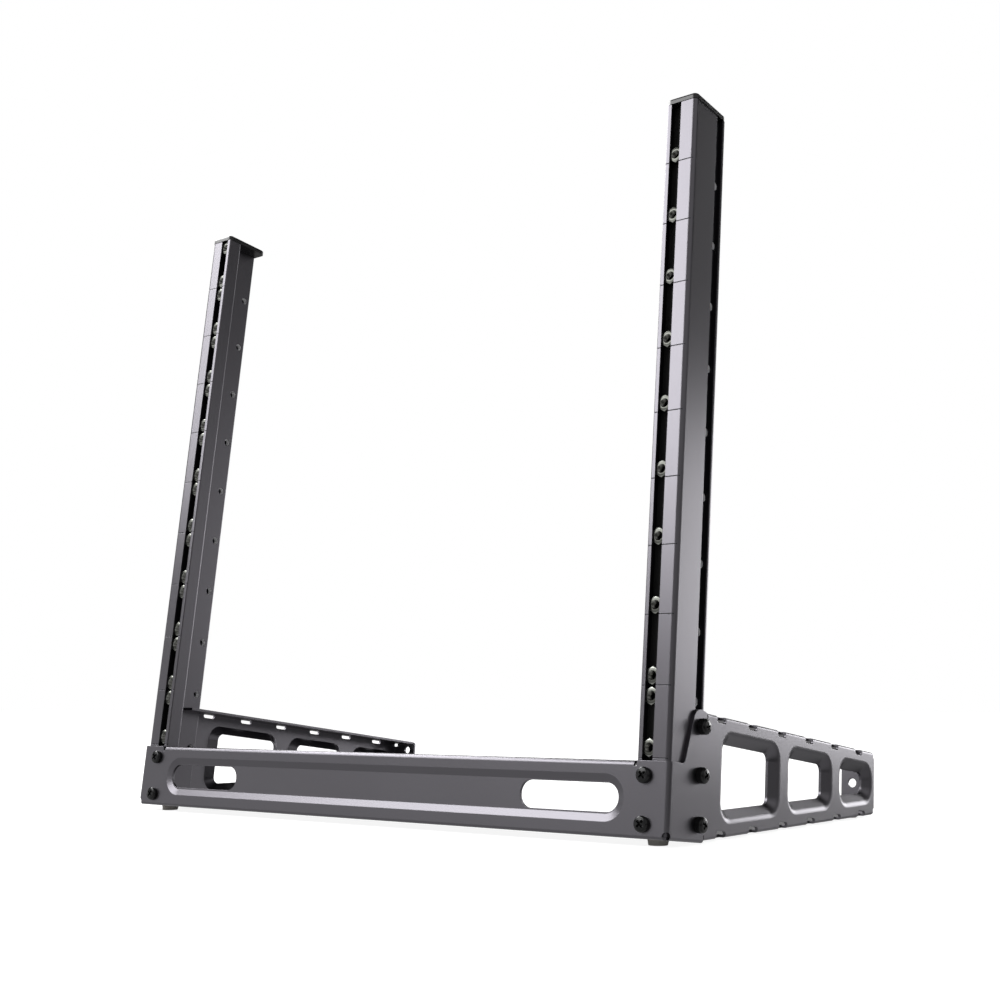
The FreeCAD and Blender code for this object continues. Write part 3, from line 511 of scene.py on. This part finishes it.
def anodised_post():
    """Satin dark anodised aluminium, drawn along the post.

    It has painted shade: it is black in the channel, in the groove and on most of the groove's
    rear lip, and on the floors of the inner side's holes. The unit lines are dark. The walls of
    the inner holes, and all of the outer ones, are pale bare metal, made pale as a painted glint.
    """
    f = new_finish("anodised_post")
    across, rear, up = f.rack_place()
    streaks = f.noise(scale=900.0, detail=3.0, roughness=0.6, stretch=(1, 1, 0.012))
    cloud = f.noise(scale=7.0)
    outwards = across.math("ABSOLUTE")
    channel = outwards.between(*CHANNEL_ACROSS) * rear.between(*CHANNEL_REAR)
    groove = outwards.math("GREATER_THAN", GROOVE_FROM) * rear.between(*GROOVE_REAR)

    from_row = rear - HOLE_ROW
    from_line = up.to_unit()
    from_high = (up - HOLE_HIGH).to_unit()
    inner_reach = (from_row * from_row + from_line * from_line).math("SQRT")
    outer_reach = (from_row * from_row + from_high * from_high).math("SQRT")
    inner_depth = outwards.between(*INNER_HOLE)
    inner_wall = inner_depth * inner_reach.between(*HOLE_WALL)
    inner_floor = inner_depth * inner_reach.math("LESS_THAN", HOLE_WALL[0])
    outer_hole = outwards.between(*OUTER_HOLE) * outer_reach.math("LESS_THAN", HOLE_WALL[1])

    line = from_line.math("ABSOLUTE").math("LESS_THAN", LINE_HALF) * rear.between(*LINE_REAR)
    # Painted shade: the channel, the groove with its rear lip, and the inner holes' floors are painted
    # black
    painted_shade = channel.math("MAXIMUM", groove).math("MAXIMUM", inner_floor)
    # Bare metal and painted glint: the inner holes' walls and all of the outer holes are pale
    bare_metal_and_glint = inner_wall.math("MAXIMUM", outer_hole)
    colour = f.blend(cloud, *ANODISED)
    colour = f.blend(painted_shade, colour, PAINTED_SHADE_BLACK)
    colour = f.blend(line, colour, LINE_BLACK)
    colour = f.blend(bare_metal_and_glint, colour, BARE_METAL_AND_GLINT)
    roughness = 0.28 + 0.05 * streaks + 0.45 * painted_shade + 0.1 * bare_metal_and_glint
    normal = f.bump(streaks, distance=0.00002, strength=0.2, edge=0.0004)
    return f.close(Base_Color=colour, Roughness=roughness, Normal=normal, Metallic=1 - 0.8 * bare_metal_and_glint)


def black_plastic():
    """Moulded black plastic with a fine spark grain."""
    f = new_finish("black_plastic")
    grain = f.noise(scale=3000.0)
    colour = f.blend(f.noise(scale=30.0), *CAP_BLACK)
    normal = f.bump(grain, distance=0.00004, strength=0.3)
    return f.close(Base_Color=colour, Roughness=0.25 + 0.06 * grain, Normal=normal, IOR=1.5)


def strip_black():
    """Matt black carrier strip."""
    f = new_finish("strip_black")
    grain = f.noise(scale=1500.0, detail=3.0)
    colour = f.blend(grain, *CARRIER_BLACK)
    normal = f.bump(grain, distance=0.00005, strength=0.3)
    return f.close(Base_Color=colour, Roughness=0.75 + 0.15 * grain, Normal=normal)


def zinc_plate():
    """Zinc on steel, a little cloudy and faintly green: painted shade makes the faces dark and the thread a
    little darker than the sides.
    """
    f = new_finish("zinc_plate")
    cloud = f.noise(scale=700.0, detail=3.0, roughness=0.6)
    mark = f.node("ShaderNodeAttribute", {"attribute_name": NUT_MARK}, output="Fac")
    colour = f.blend(cloud, *ZINC)
    # Painted shade: the faces much darker, the thread a little darker than the sides
    colour = f.blend(mark.math("GREATER_THAN", ON_FACE), colour, ZINC_FACE_SHADE)
    colour = f.blend(mark.math("LESS_THAN", IN_THREAD), colour, ZINC_THREAD_SHADE)
    normal = f.bump(cloud, distance=0.00003, strength=0.3)
    return f.close(Base_Color=colour, Roughness=0.22 + 0.16 * cloud, Normal=normal, Metallic=1.0)


def black_oxide():
    """Black oxide on steel screws: nearly black, smooth, with a dull sheen."""
    f = new_finish("black_oxide")
    cloud = f.noise(scale=500.0, detail=3.0, roughness=0.6)
    colour = f.blend(cloud, *OXIDE_BLACK)
    normal = f.bump(cloud, distance=0.00003, strength=0.25)
    return f.close(Base_Color=colour, Roughness=0.18 + 0.1 * cloud, Normal=normal, IOR=1.36)


def foot_rubber():
    """Matt grey rubber with a fine grain."""
    f = new_finish("foot_rubber")
    grain = f.noise(scale=1800.0, detail=3.0)
    colour = f.blend(grain, *RUBBER_GREY)
    normal = f.bump(grain, distance=0.00006, strength=0.4)
    return f.close(Base_Color=colour, Roughness=0.7 + 0.15 * grain, Normal=normal)


def finish_nodes():
    """Gives each CAD node the finish of its material slot, and returns the finishes by slot."""
    finishes = {
        "base_paint": gunmetal_paint(),
        "post_anodised": anodised_post(),
        "black_plastic": black_plastic(),
        "strip_black": strip_black(),
        "zinc": zinc_plate(),
        "screw_black": black_oxide(),
        "rubber": foot_rubber(),
    }
    for part in frame["record"]["subparts"]:
        node = frame["nodes"][part["node"]]
        node.data.materials.clear()
        node.data.materials.append(finishes[part["material_slot"]])
    return finishes


# Stage, light and camera, in metres

FLOOR_REACH = 12.0
# Matt tones: what lights the rack, and the veil over the camera's white, which takes the shadow
FLOOR_TONE = 0.5
VEIL_TONE = 0.4
# Strengths of the floor's glow: under the veil, and in reflections, where it is painted light, near, far
# and at the front right
WHITE_GLOW = 0.88
NEAR_GLOW = 0.58
FAR_GLOW = 0.28
RIGHT_GLOW = 0.06
# Spans of the floor: to the rear from near to far, and to the right into the dim
FAR_SPAN = (-0.1, 0.3)
RIGHT_SPAN = (0.3, 0.5)

# Strengths of the backdrop: as light, and in reflections, with the share of them left in the dim
SOFT_LIGHT = 0.4
HORIZON = 1.0
OVERHEAD = 0.07
SIDE_GLOW = 0.55
DIM_SHARE = 0.06
# Ways to the middle of the glow and of the dim, both at the front right
GLOW_WAY = (0.85, -0.53, 0.0)
DIM_WAY = (0.866, -0.5, 0.0)
# Spans of the part of a direction along such a way, and of its rise, 0 level and 1 straight up
GLOW_SPAN = (0.25, 0.7)
DIM_SPAN = (0.26, 0.5)
SKY_RISE = (0.04, 0.29)
GLOW_RISE = (0.18, 0.34)
DIM_RISE = (0.05, 0.16)

# Power of a rectangular lamp over its area and the radiance of its face
LAMP_POWER = 4

# The photo's view
CAMERA_PLACE = (0.68949, -0.87936, 0.08587)
CAMERA_AHEAD = (-0.60822, 0.78025, 0.14587)
SENSOR_WIDTH_MM = 36.0
LENS_MM = 49.67


def add_floor():
    """A pale floor that keeps the soft shadow.

    The camera sees it white. In reflections its glow is painted light: palest in front of the rack,
    fainter to the rear, and dim at the front right, as a key lamp at the front left would light it.
    """
    corners = np.array([[-1, -1, 0], [1, -1, 0], [1, 1, 0], [-1, 1, 0]]) * FLOOR_REACH
    mesh = bpy.data.meshes.new("floor")
    mesh.from_pydata(corners.tolist(), [], [(0, 1, 2, 3)])
    floor = bpy.data.objects.new("floor", mesh)
    bpy.context.scene.collection.objects.link(floor)
    f = new_finish("pale_floor")
    far = f.ease(f.part_of(f.place(), "Y"), FAR_SPAN)
    right = f.ease(f.part_of(f.place(), "X"), RIGHT_SPAN)
    # Painted light in reflections: the floor's glow falls off to the rear and to the front right
    reflected = f.layer(far, f.glow(NEAR_GLOW), f.glow(FAR_GLOW))
    reflected = f.layer(right * (1 - far), reflected, f.glow(RIGHT_GLOW))
    white = f.node("ShaderNodeAddShader", inputs={0: f.matt(VEIL_TONE), 1: f.glow(WHITE_GLOW)})
    by_camera, by_mirror = f.seen()
    surface = f.layer(by_mirror, f.matt(FLOOR_TONE), reflected)
    surface = f.layer(by_camera, surface, white)
    f.node("ShaderNodeOutputMaterial", inputs={"Surface": surface})
    mesh.materials.append(f.owner)


def add_world():
    """The backdrop: white to the camera, and an even soft grey as light.

    In reflections it is white near the horizon and dim overhead. At the front right it has
    a soft glow higher up and is dim low down.
    """
    world = bpy.data.worlds.new("studio")
    bpy.context.scene.world = world
    w = Finish(world)
    way = w.node("ShaderNodeTexCoord", output="Generated")
    rise = w.part_of(way, "Z")
    sky = w.ease(rise, SKY_RISE, HORIZON, OVERHEAD)
    glow = SIDE_GLOW * w.ease(w.dot(way, GLOW_WAY), GLOW_SPAN) * w.ease(rise, GLOW_RISE)
    dim = w.ease(w.dot(way, DIM_WAY), DIM_SPAN, 1.0, DIM_SHARE)
    low = w.ease(rise, DIM_RISE, 1.0, 0.0)
    reflected = (sky + glow) * (1 - low * (1 - dim))
    by_camera, by_mirror = w.seen()
    strength = SOFT_LIGHT + by_mirror * (reflected - SOFT_LIGHT)
    strength = strength + by_camera * (1 - strength)
    background = w.node("ShaderNodeBackground", inputs={"Color": WHITE, "Strength": strength})
    w.node("ShaderNodeOutputWorld", inputs={"Surface": background})


def add_softbox(name, place, aim, width, height, radiance):
    """A soft rectangular lamp; its power follows from the radiance of its face."""
    lamp = bpy.data.lights.new(name, "AREA")
    lamp.shape = "RECTANGLE"
    lamp.size = width
    lamp.size_y = height
    lamp.energy = radiance * width * height * LAMP_POWER
    box = bpy.data.objects.new(name, lamp)
    box.location = place
    box.rotation_euler = (Vector(aim) - Vector(place)).to_track_quat("-Z", "Y").to_euler()
    box.visible_camera = False
    bpy.context.scene.collection.objects.link(box)


def add_lights():
    """A wide key at the front left, one high on the left, and a high and a low one behind."""
    add_softbox("key", (-1.19, -1.65, 1.56), aim=(0, 0, 0.2), width=1.95, height=1.5, radiance=5.0)
    add_softbox("top", (-1.5, 0.0, 1.6), aim=(0, -0.1, 0.1), width=1.7, height=0.8, radiance=7.0)
    add_softbox("back", (0.38, 1.99, 1.31), aim=(0.25, 0, 0.1), width=0.9, height=0.6, radiance=2.2)
    add_softbox("low_rear", (0.86, 1.9, 0.33), aim=(0.25, 0, 0.1), width=0.7, height=0.72, radiance=5.2)


def add_camera():
    """The photo's view: from the front right, just above the desk, looking slightly up."""
    ahead = Vector(CAMERA_AHEAD).normalized()
    right = ahead.cross(Vector((0, 0, 1))).normalized()
    up = right.cross(ahead)
    data = bpy.data.cameras.new("camera")
    data.sensor_width = SENSOR_WIDTH_MM
    data.lens = LENS_MM
    camera = bpy.data.objects.new("camera", data)
    turn = Matrix((right, up, -ahead)).transposed().to_4x4()
    camera.matrix_world = Matrix.Translation(CAMERA_PLACE) @ turn
    bpy.context.scene.collection.objects.link(camera)
    bpy.context.scene.camera = camera


finishes = finish_nodes()
add_screws(finishes["screw_black"])
add_nuts(finishes["zinc"])
add_floor()
add_world()
add_lights()
add_camera()
bpy.context.scene.view_settings.view_transform = "Standard"
